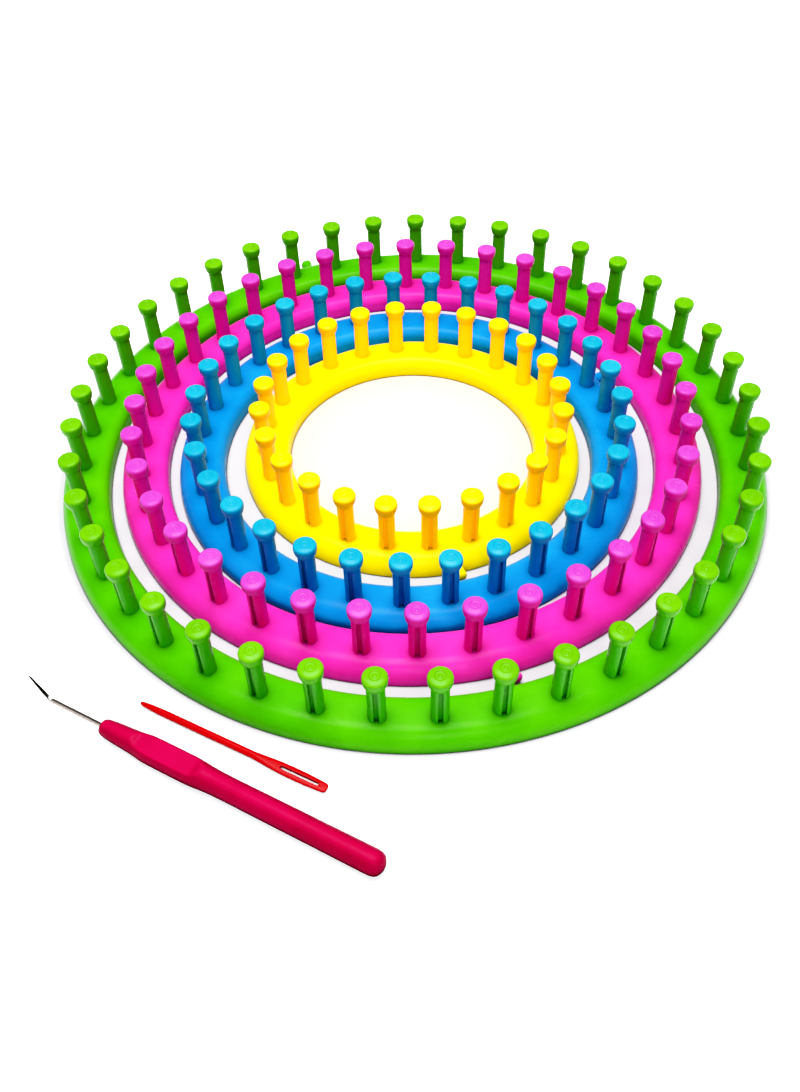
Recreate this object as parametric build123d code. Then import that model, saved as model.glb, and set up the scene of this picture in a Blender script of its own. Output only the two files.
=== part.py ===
from build123d import *
import os
from math import cos, sin, radians, degrees, atan2, hypot

# Nested set of four round knitting looms with their hook and yarn needle.
# Millimetres, +Z up.  Origin: axis of the smallest loom's opening, on the
# plane that everything rests on.

os.makedirs("parts", exist_ok=True)

# ---------------------------------------------------------------- dimensions
# ring section, the same on every loom
RING_H = 8.2            # height of the ring
OUT_W = 9.1             # peg circle to outer wall
IN_W = 9.9              # peg circle to inner wall
OUT_R = 6.6             # rounding of the outer top edge
IN_R = 4.4              # rounding of the inner top edge
FOOT_R = 0.45           # rounding of the outer bottom edge
WALL = 2.2              # thickness of the side walls
TOP_T = 2.4             # thickness of the top wall
SOCKET_R = 3.9          # outside of the peg sockets under the top wall
SOCKET_Z = 1.2          # lower end of the sockets
WEB_T = 1.4             # thickness of the webs that tie sockets to walls
WEB_Z = 3.0             # lower edge of the webs

# peg, heights above the ring's top face
PEG_TOP = 23.3          # crown of the head
HEAD_R = 4.25           # widest radius of the head
HEAD_Z = 21.95          # upper end of the widest part
NECK_R = 3.5            # foot of the head's underside
NECK_Z = 18.4
SHAFT_R = 3.15
STEM_R = 2.2            # pressed stem
STEM_L = 6.8
FLAT_X = 2.75           # outward flat, distance from the peg's axis
GROOVE_TOP_Z = 17.7     # upper end of the groove
GROOVE_W_TOP = 1.45     # groove width at its top and at its foot
GROOVE_W_FOOT = 1.85
GROOVE_X = 1.2          # groove floor, distance from the peg's axis

# anchor knob in the outer wall
KNOB_OUT = 6.0          # how far it stands out
KNOB_Z = 3.4            # height of its axis
KNOB_STEM_R = 1.7
KNOB_SHAFT_R = 2.3
KNOB_HEAD_R = 2.7

# looms: peg circle radius, number of pegs, angle of the first peg,
# centre, and knob position in peg steps clockwise from the first peg
LOOMS = {
    "green": (135.9, 41, 87.73, (0.62, -1.67), 38.5),
    "pink": (111.5, 36, 89.65, (-0.29, 0.76), 16.455),
    "blue": (86.5, 31, 92.95, (-1.51, -2.12), 5.7),
    "yellow": (61.2, 24, 94.90, (0.0, 0.0), 11.5),
}

# hook tool: ends of the handle's axis and the steel's bend and tip
HOOK_NOSE = (-107.26, -135.13)
HOOK_END = (-13.17, -187.84)
HOOK_BEND = (-126.77, -124.16)
HOOK_TIP = (-136.6, -113.7)
HOOK_Z = 4.4            # height of the handle's axis
STEEL_R = 0.8
STEEL_IN = 16.0         # length of steel held in the handle
GRIP_FLAT = 3.2         # half thickness across the thumb flats

# yarn needle
NEEDLE_TIP = (-96.62, -124.11)
NEEDLE_END = (-31.62, -159.17)
NEEDLE_R = 1.22
EYE_W = 4.06            # width of the eye section
EYE_T = 2.0             # its thickness
EYE_SLOT = (15.0, 1.15) # length and width of the slot


def ring_envelope(r):
    ro, ri = r + OUT_W, r - IN_W
    with BuildSketch() as sk:
        with BuildLine():
            Polyline((ri, 0), (ro, 0), (ro, RING_H), (ri, RING_H), close=True)
        make_face()
        vs = sk.vertices()
        fillet(vs.sort_by_distance(Vector(ro, RING_H, 0))[0], OUT_R)
        fillet(sk.vertices().sort_by_distance(Vector(ri, RING_H, 0))[0], IN_R)
        fillet(sk.vertices().sort_by_distance(Vector(ro, 0, 0))[0], FOOT_R)
    face = Plane.XZ * sk.sketch
    return revolve(face, axis=Axis.Z, revolution_arc=360)


def ring_channel(r):
    ro, ri = r + OUT_W - WALL, r - IN_W + WALL
    zt = RING_H - TOP_T
    with BuildSketch() as sk:
        with BuildLine():
            Polyline((ri, -1), (ro, -1), (ro, zt), (ri, zt), close=True)
        make_face()
        fillet(sk.vertices().sort_by_distance(Vector(ro, zt, 0))[0], OUT_R - WALL)
        fillet(sk.vertices().sort_by_distance(Vector(ri, zt, 0))[0], IN_R - WALL)
    face = Plane.XZ * sk.sketch
    return revolve(face, axis=Axis.Z, revolution_arc=360)


def peg_solid():
    """One peg, foot of the shaft at z = 0, groove facing +X."""
    prof = Plane.XZ * peg_face()
    body = revolve(prof, axis=Axis.Z, revolution_arc=360)
    # flat on the outward side and the groove cut into it
    flat = Pos(FLAT_X + 2.0, 0, GROOVE_TOP_Z / 2) * Box(4.0, 12.0, GROOVE_TOP_Z)
    with BuildSketch(Plane.YZ) as g:
        with BuildLine():
            Polyline((-GROOVE_W_FOOT / 2, 0), (GROOVE_W_FOOT / 2, 0),
                     (GROOVE_W_TOP / 2, GROOVE_TOP_Z), (-GROOVE_W_TOP / 2, GROOVE_TOP_Z),
                     close=True)
        make_face()
    groove = Pos(GROOVE_X, 0, 0) * extrude(g.sketch, 6.0)
    return body - flat - groove


def peg_face():
    with BuildSketch() as sk:
        with BuildLine():
            # underside of the stem, stem, shoulder, shaft, neck
            l1 = Polyline((0, -STEM_L), (STEM_R - 0.4, -STEM_L), (STEM_R, -STEM_L + 0.6),
                          (STEM_R, 0), (SHAFT_R, 0), (SHAFT_R, NECK_Z - 0.2),
                          (NECK_R, NECK_Z))
            # swelling underside, rim, then the crown with its shallow round mark
            l1a = ThreePointArc(l1 @ 1, (HEAD_R - 0.24, HEAD_Z - 2.0), (HEAD_R, HEAD_Z - 0.45))
            l1b = Line(l1a @ 1, (HEAD_R, HEAD_Z))
            l2 = ThreePointArc(l1b @ 1, (HEAD_R - 0.22, HEAD_Z + 0.68), (HEAD_R - 0.82, HEAD_Z + 1.08))
            l3 = ThreePointArc(l2 @ 1, (2.75, PEG_TOP - 0.13), (1.95, PEG_TOP))
            l4 = Polyline(l3 @ 1, (1.70, PEG_TOP - 0.22), (0.80, PEG_TOP - 0.24),
                          (0.60, PEG_TOP - 0.08), (0, PEG_TOP - 0.05), (0, -STEM_L))
        make_face()
    return sk.sketch


def knob_solid():
    """Anchor knob along +X, with the outer wall's face at x = 0."""
    with BuildSketch() as sk:
        with BuildLine():
            l1 = Polyline((0, -WALL - 1.2), (KNOB_STEM_R, -WALL - 1.2), (KNOB_STEM_R, -1.75),
                          (KNOB_SHAFT_R, -1.75), (KNOB_SHAFT_R, KNOB_OUT - 2.7),
                          (KNOB_HEAD_R, KNOB_OUT - 2.1), (KNOB_HEAD_R, KNOB_OUT - 1.5))
            # domed end: a cap of a sphere centred on the knob's axis
            zc = (KNOB_OUT ** 2 - KNOB_HEAD_R ** 2 - (KNOB_OUT - 1.5) ** 2) / 3.0
            rs = KNOB_OUT - zc
            am = radians((90 + degrees(atan2(KNOB_OUT - 1.5 - zc, KNOB_HEAD_R))) / 2)
            l2 = ThreePointArc(l1 @ 1, (rs * cos(am), zc + rs * sin(am)), (0, KNOB_OUT))
            Line(l2 @ 1, (0, -WALL - 1.2))
        make_face()
    body = revolve(Plane.XZ * sk.sketch, axis=Axis.Z, revolution_arc=360)
    return Rot(0, 90, 0) * body


def peg_angle(phase, n, k):
    return phase - 360.0 * k / n


def loom(name):
    r, n, phase, (cx, cy), knob_k = LOOMS[name]
    at = Pos(cx, cy, 0)
    angles = [peg_angle(phase, n, k) for k in range(n)]

    # sockets and webs are what the channel cut leaves standing
    socket_h = RING_H - SOCKET_Z
    sockets = [Rot(0, 0, a) * Pos(r, 0, SOCKET_Z + socket_h / 2) * Cylinder(SOCKET_R, socket_h)
               for a in angles]
    web_h = RING_H - WEB_Z
    webs = [Rot(0, 0, a) * Pos(r - (IN_W - OUT_W) / 2, 0, WEB_Z + web_h / 2)
            * Box(OUT_W + IN_W + 2, WEB_T, web_h) for a in angles]
    channel = ring_channel(r).cut(*sockets, *webs)
    bores = [Rot(0, 0, a) * Pos(r, 0, RING_H / 2) * Cylinder(STEM_R, RING_H + 2) for a in angles]
    ka = peg_angle(phase, n, knob_k)
    knob = Rot(0, 0, ka) * Pos(r + OUT_W, 0, KNOB_Z) * knob_solid()
    ring = ring_envelope(r).cut(channel, *bores, knob)

    peg = peg_solid()
    pegs = [Rot(0, 0, a) * Pos(r, 0, RING_H) * peg for a in angles]
    return (at * ring, [at * p for p in pegs], at * knob)


def write(node, shapes):
    solids = []
    for s in (shapes if isinstance(shapes, list) else [shapes]):
        solids += list(s.solids())
    obj = solids[0] if len(solids) == 1 else Compound(children=solids)
    obj.label = node
    export_step(obj, "parts/%s.step" % node)
    return obj


for name in LOOMS:
    ring, pegs, knob = loom(name)
    write(name + "_ring", ring)
    write(name + "_pegs", pegs)
    write(name + "_anchor_knob", knob)


# ------------------------------------------------------------------ hook tool
def along(p, q):
    """Location at p (x, y) and height HOOK_Z with its Z axis towards q."""
    d = Vector(q[0] - p[0], q[1] - p[1], 0).normalized()
    return Plane(origin=(p[0], p[1], HOOK_Z), x_dir=(0, 0, 1), z_dir=d)


hook_len = hypot(HOOK_END[0] - HOOK_NOSE[0], HOOK_END[1] - HOOK_NOSE[1])
with BuildSketch() as hs:
    with BuildLine():
        n1 = Line((0, 0), (1.6, 0))
        n2 = ThreePointArc(n1 @ 1, (2.5, 0.45), (2.95, 1.6))
        n3 = Spline(n2 @ 1, (3.38, 5.0), (3.7, 10.0), (4.05, 15.0), (4.52, 19.0), (4.63, 25.0),
                    (4.65, 34.0), (4.55, 38.0), (4.3, 41.5), (4.02, 46.0), (3.95, 52.0),
                    (4.0, 66.0), (4.04, 84.0), (4.1, hook_len - 5.0))
        n4 = ThreePointArc(n3 @ 1, (3.97, hook_len - 2.9), (3.2, hook_len - 1.3))
        # rounded end: a cap of a sphere centred on the axis
        cap_h = 1.3
        cap_r = (3.2 ** 2 + cap_h ** 2) / (2 * cap_h)
        cap_a = atan2(3.2, cap_r - cap_h) / 2
        n4b = ThreePointArc(n4 @ 1, (cap_r * sin(cap_a), hook_len - cap_r + cap_r * cos(cap_a)), (0, hook_len))
        n5 = Line(n4b @ 1, (0, 0))
    make_face()
handle = revolve(Plane.XZ * hs.sketch, axis=Axis.Z, revolution_arc=360)
# thumb flats above and below, with sloping ends; local X is up, Z along the axis
for sgn in (1, -1):
    with BuildSketch(Plane.XZ) as fs:
        with BuildLine():
            Polyline((sgn * GRIP_FLAT, 15.5), (sgn * GRIP_FLAT, 38.0), (sgn * (GRIP_FLAT + 3), 44.5),
                     (sgn * (GRIP_FLAT + 3), 8.5), close=True)
        make_face()
    handle = handle - extrude(fs.sketch, 8, both=True)
# hole for the steel
handle = handle - Pos(0, 0, STEEL_IN / 2) * Cylinder(STEEL_R, STEEL_IN)
handle = along(HOOK_NOSE, HOOK_END) * handle
write("hook_handle", handle)

# steel: straight shank, bend, tapered spear, and the throat just past the bend
shank_len = hypot(HOOK_BEND[0] - HOOK_NOSE[0], HOOK_BEND[1] - HOOK_NOSE[1])
inner = Vector(*HOOK_NOSE, 0) + Vector(HOOK_END[0] - HOOK_NOSE[0], HOOK_END[1] - HOOK_NOSE[1], 0).normalized() * STEEL_IN
shank = along((inner.X, inner.Y), HOOK_NOSE) * Pos(0, 0, STEEL_IN / 2) * Cylinder(STEEL_R, STEEL_IN)
shank += along(HOOK_NOSE, HOOK_BEND) * Pos(0, 0, shank_len / 2) * Cylinder(STEEL_R, shank_len)
shank += Pos(*HOOK_NOSE, HOOK_Z) * Sphere(STEEL_R)
shank += Pos(*HOOK_BEND, HOOK_Z) * Sphere(STEEL_R)
spear_len = hypot(HOOK_TIP[0] - HOOK_BEND[0], HOOK_TIP[1] - HOOK_BEND[1])
spear = along(HOOK_BEND, HOOK_TIP) * Pos(0, 0, spear_len / 2) * Cone(STEEL_R, 0.2, spear_len)
steel = shank + spear
# throat, cut square from the side that faces the looms
sd = Vector(HOOK_TIP[0] - HOOK_BEND[0], HOOK_TIP[1] - HOOK_BEND[1], 0).normalized()
side = Vector(sd.Y, -sd.X, 0)
tp = Vector(*HOOK_BEND, HOOK_Z) + sd * 1.3 + side * 0.75
throat = Plane(origin=tp, x_dir=sd, z_dir=(0, 0, 1)) * Box(1.3, 1.3, 3.0)
steel = steel - throat
write("hook_steel", steel)

# --------------------------------------------------------------- yarn needle
nd_len = hypot(NEEDLE_END[0] - NEEDLE_TIP[0], NEEDLE_END[1] - NEEDLE_TIP[1])
e0 = nd_len - 27.85      # where the rod flattens into the eye
with BuildSketch() as ns:
    with BuildLine():
        m1 = ThreePointArc((0, 0), (0.3, 0.1), (0.45, 0.4))
        m2 = Spline(m1 @ 1, (0.87, 3.5), (1.08, 7.0), (NEEDLE_R, 12.0), tangents=((0.25, 1.0), (0.0, 1.0)))
        m3 = Line(m2 @ 1, (NEEDLE_R, e0 - 0.5))
        Polyline(m3 @ 1, (0.92, e0 + 4.0), (0.7, e0 + 6.0), (0, e0 + 6.0), (0, 0))
    make_face()
rod = revolve(Plane.XZ * ns.sketch, axis=Axis.Z, revolution_arc=360)
with BuildSketch(Plane.YZ) as es:
    with BuildLine():
        rim = [(NEEDLE_R - 0.1, e0 - 0.8), (1.44, e0 + 3.0), (1.74, e0 + 7.0), (1.94, e0 + 10.5),
               (EYE_W / 2, e0 + 15.0), (EYE_W / 2 - 0.06, e0 + 19.5), (1.78, e0 + 24.3), (1.5, nd_len)]
        q1 = Spline(*rim)
        q2 = Line(q1 @ 1, (-1.5, nd_len))
        q3 = Spline(*[(-a, b) for a, b in reversed(rim)])
        q4 = Line(q3 @ 1, q1 @ 0)
    make_face()
    fillet([v for v in es.vertices() if v.Z > nd_len - 0.5], 0.8)
eye = extrude(es.sketch, EYE_T / 2, both=True)
eye = chamfer(eye.edges().filter_by(lambda e: abs(abs(e.center().X) - EYE_T / 2) < 1e-6), 0.3)
slot = Pos(0, 0, nd_len - 2.85 - EYE_SLOT[0] / 2) * Box(4, EYE_SLOT[1], EYE_SLOT[0])
slot = fillet(slot.edges().filter_by(Axis.X), EYE_SLOT[1] / 2 - 0.02)
needle = (rod + eye) - slot
npl = Plane(origin=(NEEDLE_TIP[0], NEEDLE_TIP[1], NEEDLE_R),
            x_dir=(0, 0, 1),
            z_dir=Vector(NEEDLE_END[0] - NEEDLE_TIP[0], NEEDLE_END[1] - NEEDLE_TIP[1], 0).normalized())
write("yarn_needle", npl * needle)
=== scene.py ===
import math
import random

import bmesh
import bpy
import numpy as np
from mathutils import Matrix, Vector


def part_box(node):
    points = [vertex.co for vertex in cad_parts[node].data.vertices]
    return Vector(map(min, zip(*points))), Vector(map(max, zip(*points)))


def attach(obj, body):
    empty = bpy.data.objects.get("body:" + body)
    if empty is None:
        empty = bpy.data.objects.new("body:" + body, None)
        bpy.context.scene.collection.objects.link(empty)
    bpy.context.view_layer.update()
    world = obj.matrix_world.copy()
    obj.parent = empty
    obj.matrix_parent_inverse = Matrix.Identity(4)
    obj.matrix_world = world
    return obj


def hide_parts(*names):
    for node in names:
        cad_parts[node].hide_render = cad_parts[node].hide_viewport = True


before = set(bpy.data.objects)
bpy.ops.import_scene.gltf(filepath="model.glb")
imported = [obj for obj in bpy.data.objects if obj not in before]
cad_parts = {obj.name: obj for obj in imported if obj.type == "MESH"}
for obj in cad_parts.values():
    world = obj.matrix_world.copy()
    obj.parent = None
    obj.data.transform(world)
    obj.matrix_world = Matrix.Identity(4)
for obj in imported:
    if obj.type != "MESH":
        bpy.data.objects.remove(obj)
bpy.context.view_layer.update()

random.seed(7)
rng = np.random.default_rng(7)
MM = 0.001
scene = bpy.context.scene


# ----------------------------------------------------------------- camera
# viewing point of the photograph: 48 degrees down, from in front of the set
cam_data = bpy.data.cameras.new("camera")
cam = bpy.data.objects.new("camera", cam_data)
scene.collection.objects.link(cam)
scene.camera = cam
cam_data.sensor_fit = "AUTO"
cam_data.sensor_width = 36.0
cam_data.lens = 36.0 * 1034.43 / 1092.0
cam_data.clip_start = 0.01
cam_data.clip_end = 20.0
cam_data.dof.use_dof = False
pitch, roll = math.radians(47.958), math.radians(1.571)
fwd = Vector((0, math.cos(pitch), -math.sin(pitch)))
right = Vector((1, 0, 0))
down = fwd.cross(right)
r2 = right * math.cos(roll) + down * math.sin(roll)
d2 = -right * math.sin(roll) + down * math.cos(roll)
rot = Matrix((r2, -d2, -fwd)).transposed().to_4x4()
cam.matrix_world = Matrix.Translation(Vector((-6.01, -324.29, 300.03)) * MM) @ rot


# ------------------------------------------------------------- mesh helpers
def new_object(name, verts, faces, smooth_angle=34.0, merge=0.0):
    me = bpy.data.meshes.new(name)
    me.from_pydata([tuple(v) for v in verts], [], [tuple(f) for f in faces])
    me.validate(verbose=False)
    bm = bmesh.new()
    bm.from_mesh(me)
    if merge > 0:
        bmesh.ops.remove_doubles(bm, verts=bm.verts, dist=merge)
    bmesh.ops.recalc_face_normals(bm, faces=bm.faces)
    bm.to_mesh(me)
    bm.free()
    ob = bpy.data.objects.new(name, me)
    scene.collection.objects.link(ob)
    shade(ob, smooth_angle)
    return ob


def shade(ob, angle=34.0):
    me = ob.data
    for p in me.polygons:
        p.use_smooth = True
    if hasattr(me, "set_sharp_from_angle"):
        me.set_sharp_from_angle(angle=math.radians(angle))


def grid_faces(nu, nv, wrap_u=True, wrap_v=False, base=0):
    """Quads of a grid of nv rows of nu points."""
    out = []
    for j in range(nv if wrap_v else nv - 1):
        for i in range(nu if wrap_u else nu - 1):
            a = base + j * nu + i
            b = base + j * nu + (i + 1) % nu
            c = base + ((j + 1) % nv) * nu + (i + 1) % nu
            d = base + ((j + 1) % nv) * nu + i
            out.append((a, b, c, d))
    return out


def arc_points(cx, cz, r, a0, a1, n):
    return [(cx + r * math.cos(math.radians(a0 + (a1 - a0) * i / n)),
             cz + r * math.sin(math.radians(a0 + (a1 - a0) * i / n))) for i in range(n + 1)]


def merged(parts):
    """One vertex and face list from several."""
    vs, fs = [], []
    for v, f in parts:
        k = len(vs)
        vs += list(v)
        fs += [tuple(i + k for i in g) for g in f]
    return vs, fs


def applied(ob):
    """The object's modifiers, applied."""
    dg = bpy.context.evaluated_depsgraph_get()
    me = bpy.data.meshes.new_from_object(ob.evaluated_get(dg))
    old = ob.data
    ob.modifiers.clear()
    ob.data = me
    bpy.data.meshes.remove(old)
    return ob


def boolean(ob, other, op):
    m = ob.modifiers.new("b", "BOOLEAN")
    m.operation = op
    m.object = other
    m.solver = "EXACT"
    applied(ob)
    me = other.data
    bpy.data.objects.remove(other)
    bpy.data.meshes.remove(me)
    return ob


# ---------------------------------------------------------------- materials
def plastic(name, base, deep, light, rough=0.30, spec=0.07, sss=0.0, grain=0.010, mottle=0.5,
            scale=1.0, coat=0.0, reach=4.0, crease_shade=0.30, painted_shade_tone=None, painted_glow=0.0,
            under=None):
    """Moulded plastic: uneven pigment, fine satin grain, faint flow marks and worn edges, with painted shade in
    creases; optionally painted shade on shafts and undersides, and a painted glow.
    """
    mat = bpy.data.materials.new(name)
    mat.use_nodes = True
    nt = mat.node_tree
    nt.nodes.clear()
    N = nt.nodes.new
    out = N("ShaderNodeOutputMaterial")
    bs = N("ShaderNodeBsdfPrincipled")
    nt.links.new(bs.outputs[0], out.inputs[0])
    tc = N("ShaderNodeTexCoord")
    # pigment: large soft variation
    n1 = N("ShaderNodeTexNoise")
    n1.inputs["Scale"].default_value = 38.0 * scale
    n1.inputs["Detail"].default_value = 3.0
    nt.links.new(tc.outputs["Object"], n1.inputs["Vector"])
    r1 = N("ShaderNodeValToRGB")
    r1.color_ramp.elements[0].position = 0.30
    r1.color_ramp.elements[0].color = (*deep, 1)
    r1.color_ramp.elements[1].position = 0.72
    r1.color_ramp.elements[1].color = (*light, 1)
    e = r1.color_ramp.elements.new(0.5)
    e.color = (*base, 1)
    nt.links.new(n1.outputs["Fac"], r1.inputs["Fac"])
    mix = N("ShaderNodeMix")
    mix.data_type = "RGBA"
    mix.inputs["Factor"].default_value = mottle
    mix.inputs["A"].default_value = (*base, 1)
    nt.links.new(r1.outputs["Color"], mix.inputs["B"])
    # flow marks: a finer faint noise in value
    n2 = N("ShaderNodeTexNoise")
    n2.inputs["Scale"].default_value = 210.0 * scale
    n2.inputs["Detail"].default_value = 2.0
    nt.links.new(tc.outputs["Object"], n2.inputs["Vector"])
    hsv = N("ShaderNodeHueSaturation")
    mr = N("ShaderNodeMapRange")
    mr.inputs["From Min"].default_value = 0.3
    mr.inputs["From Max"].default_value = 0.7
    mr.inputs["To Min"].default_value = 0.965
    mr.inputs["To Max"].default_value = 1.03
    nt.links.new(n2.outputs["Fac"], mr.inputs["Value"])
    nt.links.new(mr.outputs["Result"], hsv.inputs["Value"])
    nt.links.new(mix.outputs["Result"], hsv.inputs["Color"])
    # edges: handled arrises are a touch paler
    geo = N("ShaderNodeNewGeometry")
    er = N("ShaderNodeMapRange")
    er.inputs["From Min"].default_value = 0.53
    er.inputs["From Max"].default_value = 0.62
    er.inputs["To Min"].default_value = 0.0
    er.inputs["To Max"].default_value = 0.22
    nt.links.new(geo.outputs["Pointiness"], er.inputs["Value"])
    em = N("ShaderNodeMix")
    em.data_type = "RGBA"
    nt.links.new(er.outputs["Result"], em.inputs["Factor"])
    nt.links.new(hsv.outputs["Color"], em.inputs["A"])
    em.inputs["B"].default_value = (*light, 1)
    last = em.outputs["Result"]
    if painted_shade_tone:
        # painted shade: shafts below the heads are given a deeper colour, most of all on the side turned away from the
        # middle, as a lamp above the middle would leave them
        sep = N("ShaderNodeSeparateXYZ")
        nt.links.new(tc.outputs["Object"], sep.inputs[0])
        hm = N("ShaderNodeMapRange")
        hm.inputs["From Min"].default_value = 26.7 * MM
        hm.inputs["From Max"].default_value = 25.7 * MM
        nt.links.new(sep.outputs["Z"], hm.inputs["Value"])
        cx = N("ShaderNodeCombineXYZ")
        nt.links.new(sep.outputs["X"], cx.inputs["X"])
        nt.links.new(sep.outputs["Y"], cx.inputs["Y"])
        nv = N("ShaderNodeVectorMath")
        nv.operation = "NORMALIZE"
        nt.links.new(cx.outputs[0], nv.inputs[0])
        dp = N("ShaderNodeVectorMath")
        dp.operation = "DOT_PRODUCT"
        nt.links.new(nv.outputs["Vector"], dp.inputs[0])
        nt.links.new(geo.outputs["Normal"], dp.inputs[1])
        dm = N("ShaderNodeMapRange")
        dm.inputs["From Min"].default_value = -0.35
        dm.inputs["From Max"].default_value = 0.45
        dm.inputs["To Min"].default_value = 0.30
        dm.inputs["To Max"].default_value = 0.95
        nt.links.new(dp.outputs["Value"], dm.inputs["Value"])
        wm = N("ShaderNodeMath")
        wm.operation = "MULTIPLY"
        nt.links.new(hm.outputs["Result"], wm.inputs[0])
        nt.links.new(dm.outputs["Result"], wm.inputs[1])
        # painted shade on the undersides of the heads, part of the way, by the normal's height
        sn = N("ShaderNodeSeparateXYZ")
        nt.links.new(geo.outputs["Normal"], sn.inputs[0])
        um = N("ShaderNodeMapRange")
        um.inputs["From Min"].default_value = 0.60
        um.inputs["From Max"].default_value = 0.02
        um.inputs["To Min"].default_value = 0.0
        um.inputs["To Max"].default_value = 0.66
        nt.links.new(sn.outputs["Z"], um.inputs["Value"])
        xm = N("ShaderNodeMath")
        xm.operation = "MAXIMUM"
        nt.links.new(wm.outputs["Value"], xm.inputs[0])
        nt.links.new(um.outputs["Result"], xm.inputs[1])
        sm = N("ShaderNodeMix")
        sm.data_type = "RGBA"
        nt.links.new(xm.outputs["Value"], sm.inputs["Factor"])
        nt.links.new(last, sm.inputs["A"])
        sm.inputs["B"].default_value = (*painted_shade_tone, 1)
        last = sm.outputs["Result"]
        if painted_glow:
            # painted glow: the shafts below the heads emit a little light in their painted shade colour, standing in
            # for light passing through the thin plastic
            gm = N("ShaderNodeMath")
            gm.operation = "MULTIPLY"
            gm.inputs[1].default_value = painted_glow
            nt.links.new(hm.outputs["Result"], gm.inputs[0])
            nt.links.new(gm.outputs["Value"], bs.inputs["Emission Strength"])
            bs.inputs["Emission Color"].default_value = (*painted_shade_tone, 1)
    if under:
        # painted shade and light: the colour is scaled by the normal's height, deepest on the underside and sides, full
        # on top: (normal's height, share of the colour kept)
        us = N("ShaderNodeSeparateXYZ")
        nt.links.new(geo.outputs["Normal"], us.inputs[0])
        ur = N("ShaderNodeMapRange")
        ur.inputs["From Min"].default_value = -1.0
        ur.inputs["From Max"].default_value = 1.0
        nt.links.new(us.outputs["Z"], ur.inputs["Value"])
        uc = N("ShaderNodeValToRGB")
        ue = uc.color_ramp.elements
        ue[0].position, ue[0].color = (under[0][0] + 1) / 2, (under[0][1],) * 3 + (1,)
        ue[1].position, ue[1].color = (under[-1][0] + 1) / 2, (under[-1][1],) * 3 + (1,)
        for nz, kept in under[1:-1]:
            ue.new((nz + 1) / 2).color = (kept, kept, kept, 1)
        nt.links.new(ur.outputs["Result"], uc.inputs["Fac"])
        ux = N("ShaderNodeMix")
        ux.data_type = "RGBA"
        ux.blend_type = "MULTIPLY"
        ux.inputs["Factor"].default_value = 1.0
        nt.links.new(last, ux.inputs["A"])
        nt.links.new(uc.outputs["Color"], ux.inputs["B"])
        last = ux.outputs["Result"]
    # painted shade: creases, grooves and feet are darkened by ambient occlusion, multiplied into the colour
    ao = N("ShaderNodeAmbientOcclusion")
    ao.samples = 6
    ao.inputs["Distance"].default_value = reach * MM
    ar = N("ShaderNodeMapRange")
    ar.inputs["From Min"].default_value = 0.22
    ar.inputs["From Max"].default_value = 0.88
    ar.inputs["To Min"].default_value = crease_shade
    ar.inputs["To Max"].default_value = 1.0
    nt.links.new(ao.outputs["AO"], ar.inputs["Value"])
    am = N("ShaderNodeMix")
    am.data_type = "RGBA"
    am.blend_type = "MULTIPLY"
    am.inputs["Factor"].default_value = 1.0
    nt.links.new(last, am.inputs["A"])
    nt.links.new(ar.outputs["Result"], am.inputs["B"])
    nt.links.new(am.outputs["Result"], bs.inputs["Base Color"])
    # roughness
    n3 = N("ShaderNodeTexNoise")
    n3.inputs["Scale"].default_value = 95.0 * scale
    n3.inputs["Detail"].default_value = 5.0
    nt.links.new(tc.outputs["Object"], n3.inputs["Vector"])
    rr = N("ShaderNodeMapRange")
    rr.inputs["From Min"].default_value = 0.3
    rr.inputs["From Max"].default_value = 0.7
    rr.inputs["To Min"].default_value = rough - 0.05
    rr.inputs["To Max"].default_value = rough + 0.07
    nt.links.new(n3.outputs["Fac"], rr.inputs["Value"])
    nt.links.new(rr.outputs["Result"], bs.inputs["Roughness"])
    # bump: fine moulded grain over a very soft waviness
    g1 = N("ShaderNodeTexNoise")
    g1.inputs["Scale"].default_value = 2600.0 * scale
    g1.inputs["Detail"].default_value = 2.0
    nt.links.new(tc.outputs["Object"], g1.inputs["Vector"])
    b1 = N("ShaderNodeBump")
    b1.inputs["Strength"].default_value = 0.10
    b1.inputs["Distance"].default_value = grain * MM
    nt.links.new(g1.outputs["Fac"], b1.inputs["Height"])
    g2 = N("ShaderNodeTexNoise")
    g2.inputs["Scale"].default_value = 130.0 * scale
    g2.inputs["Detail"].default_value = 1.0
    nt.links.new(tc.outputs["Object"], g2.inputs["Vector"])
    b2 = N("ShaderNodeBump")
    b2.inputs["Strength"].default_value = 0.25
    b2.inputs["Distance"].default_value = 0.06 * MM
    nt.links.new(g2.outputs["Fac"], b2.inputs["Height"])
    nt.links.new(b1.outputs["Normal"], b2.inputs["Normal"])
    nt.links.new(b2.outputs["Normal"], bs.inputs["Normal"])
    bs.inputs["Specular IOR Level"].default_value = spec
    if under:
        # and less specular towards the underside, which deepens the painted shade there
        ud = N("ShaderNodeMapRange")
        ud.inputs["From Min"].default_value = 0.45
        ud.inputs["From Max"].default_value = 0.05
        ud.inputs["To Min"].default_value = spec
        ud.inputs["To Max"].default_value = 0.0
        nt.links.new(us.outputs["Z"], ud.inputs["Value"])
        nt.links.new(ud.outputs["Result"], bs.inputs["Specular IOR Level"])
    bs.inputs["Subsurface Weight"].default_value = sss
    bs.inputs["Subsurface Radius"].default_value = (1.0, 1.0, 1.0)
    bs.inputs["Subsurface Scale"].default_value = 0.0012
    if coat:
        bs.inputs["Coat Weight"].default_value = coat
        bs.inputs["Coat Roughness"].default_value = 0.18
    return mat


def lin(*rgb):
    return tuple(((c / 255) / 12.92 if c / 255 <= 0.04045 else ((c / 255 + 0.055) / 1.055) ** 2.4) for c in rgb)


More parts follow.
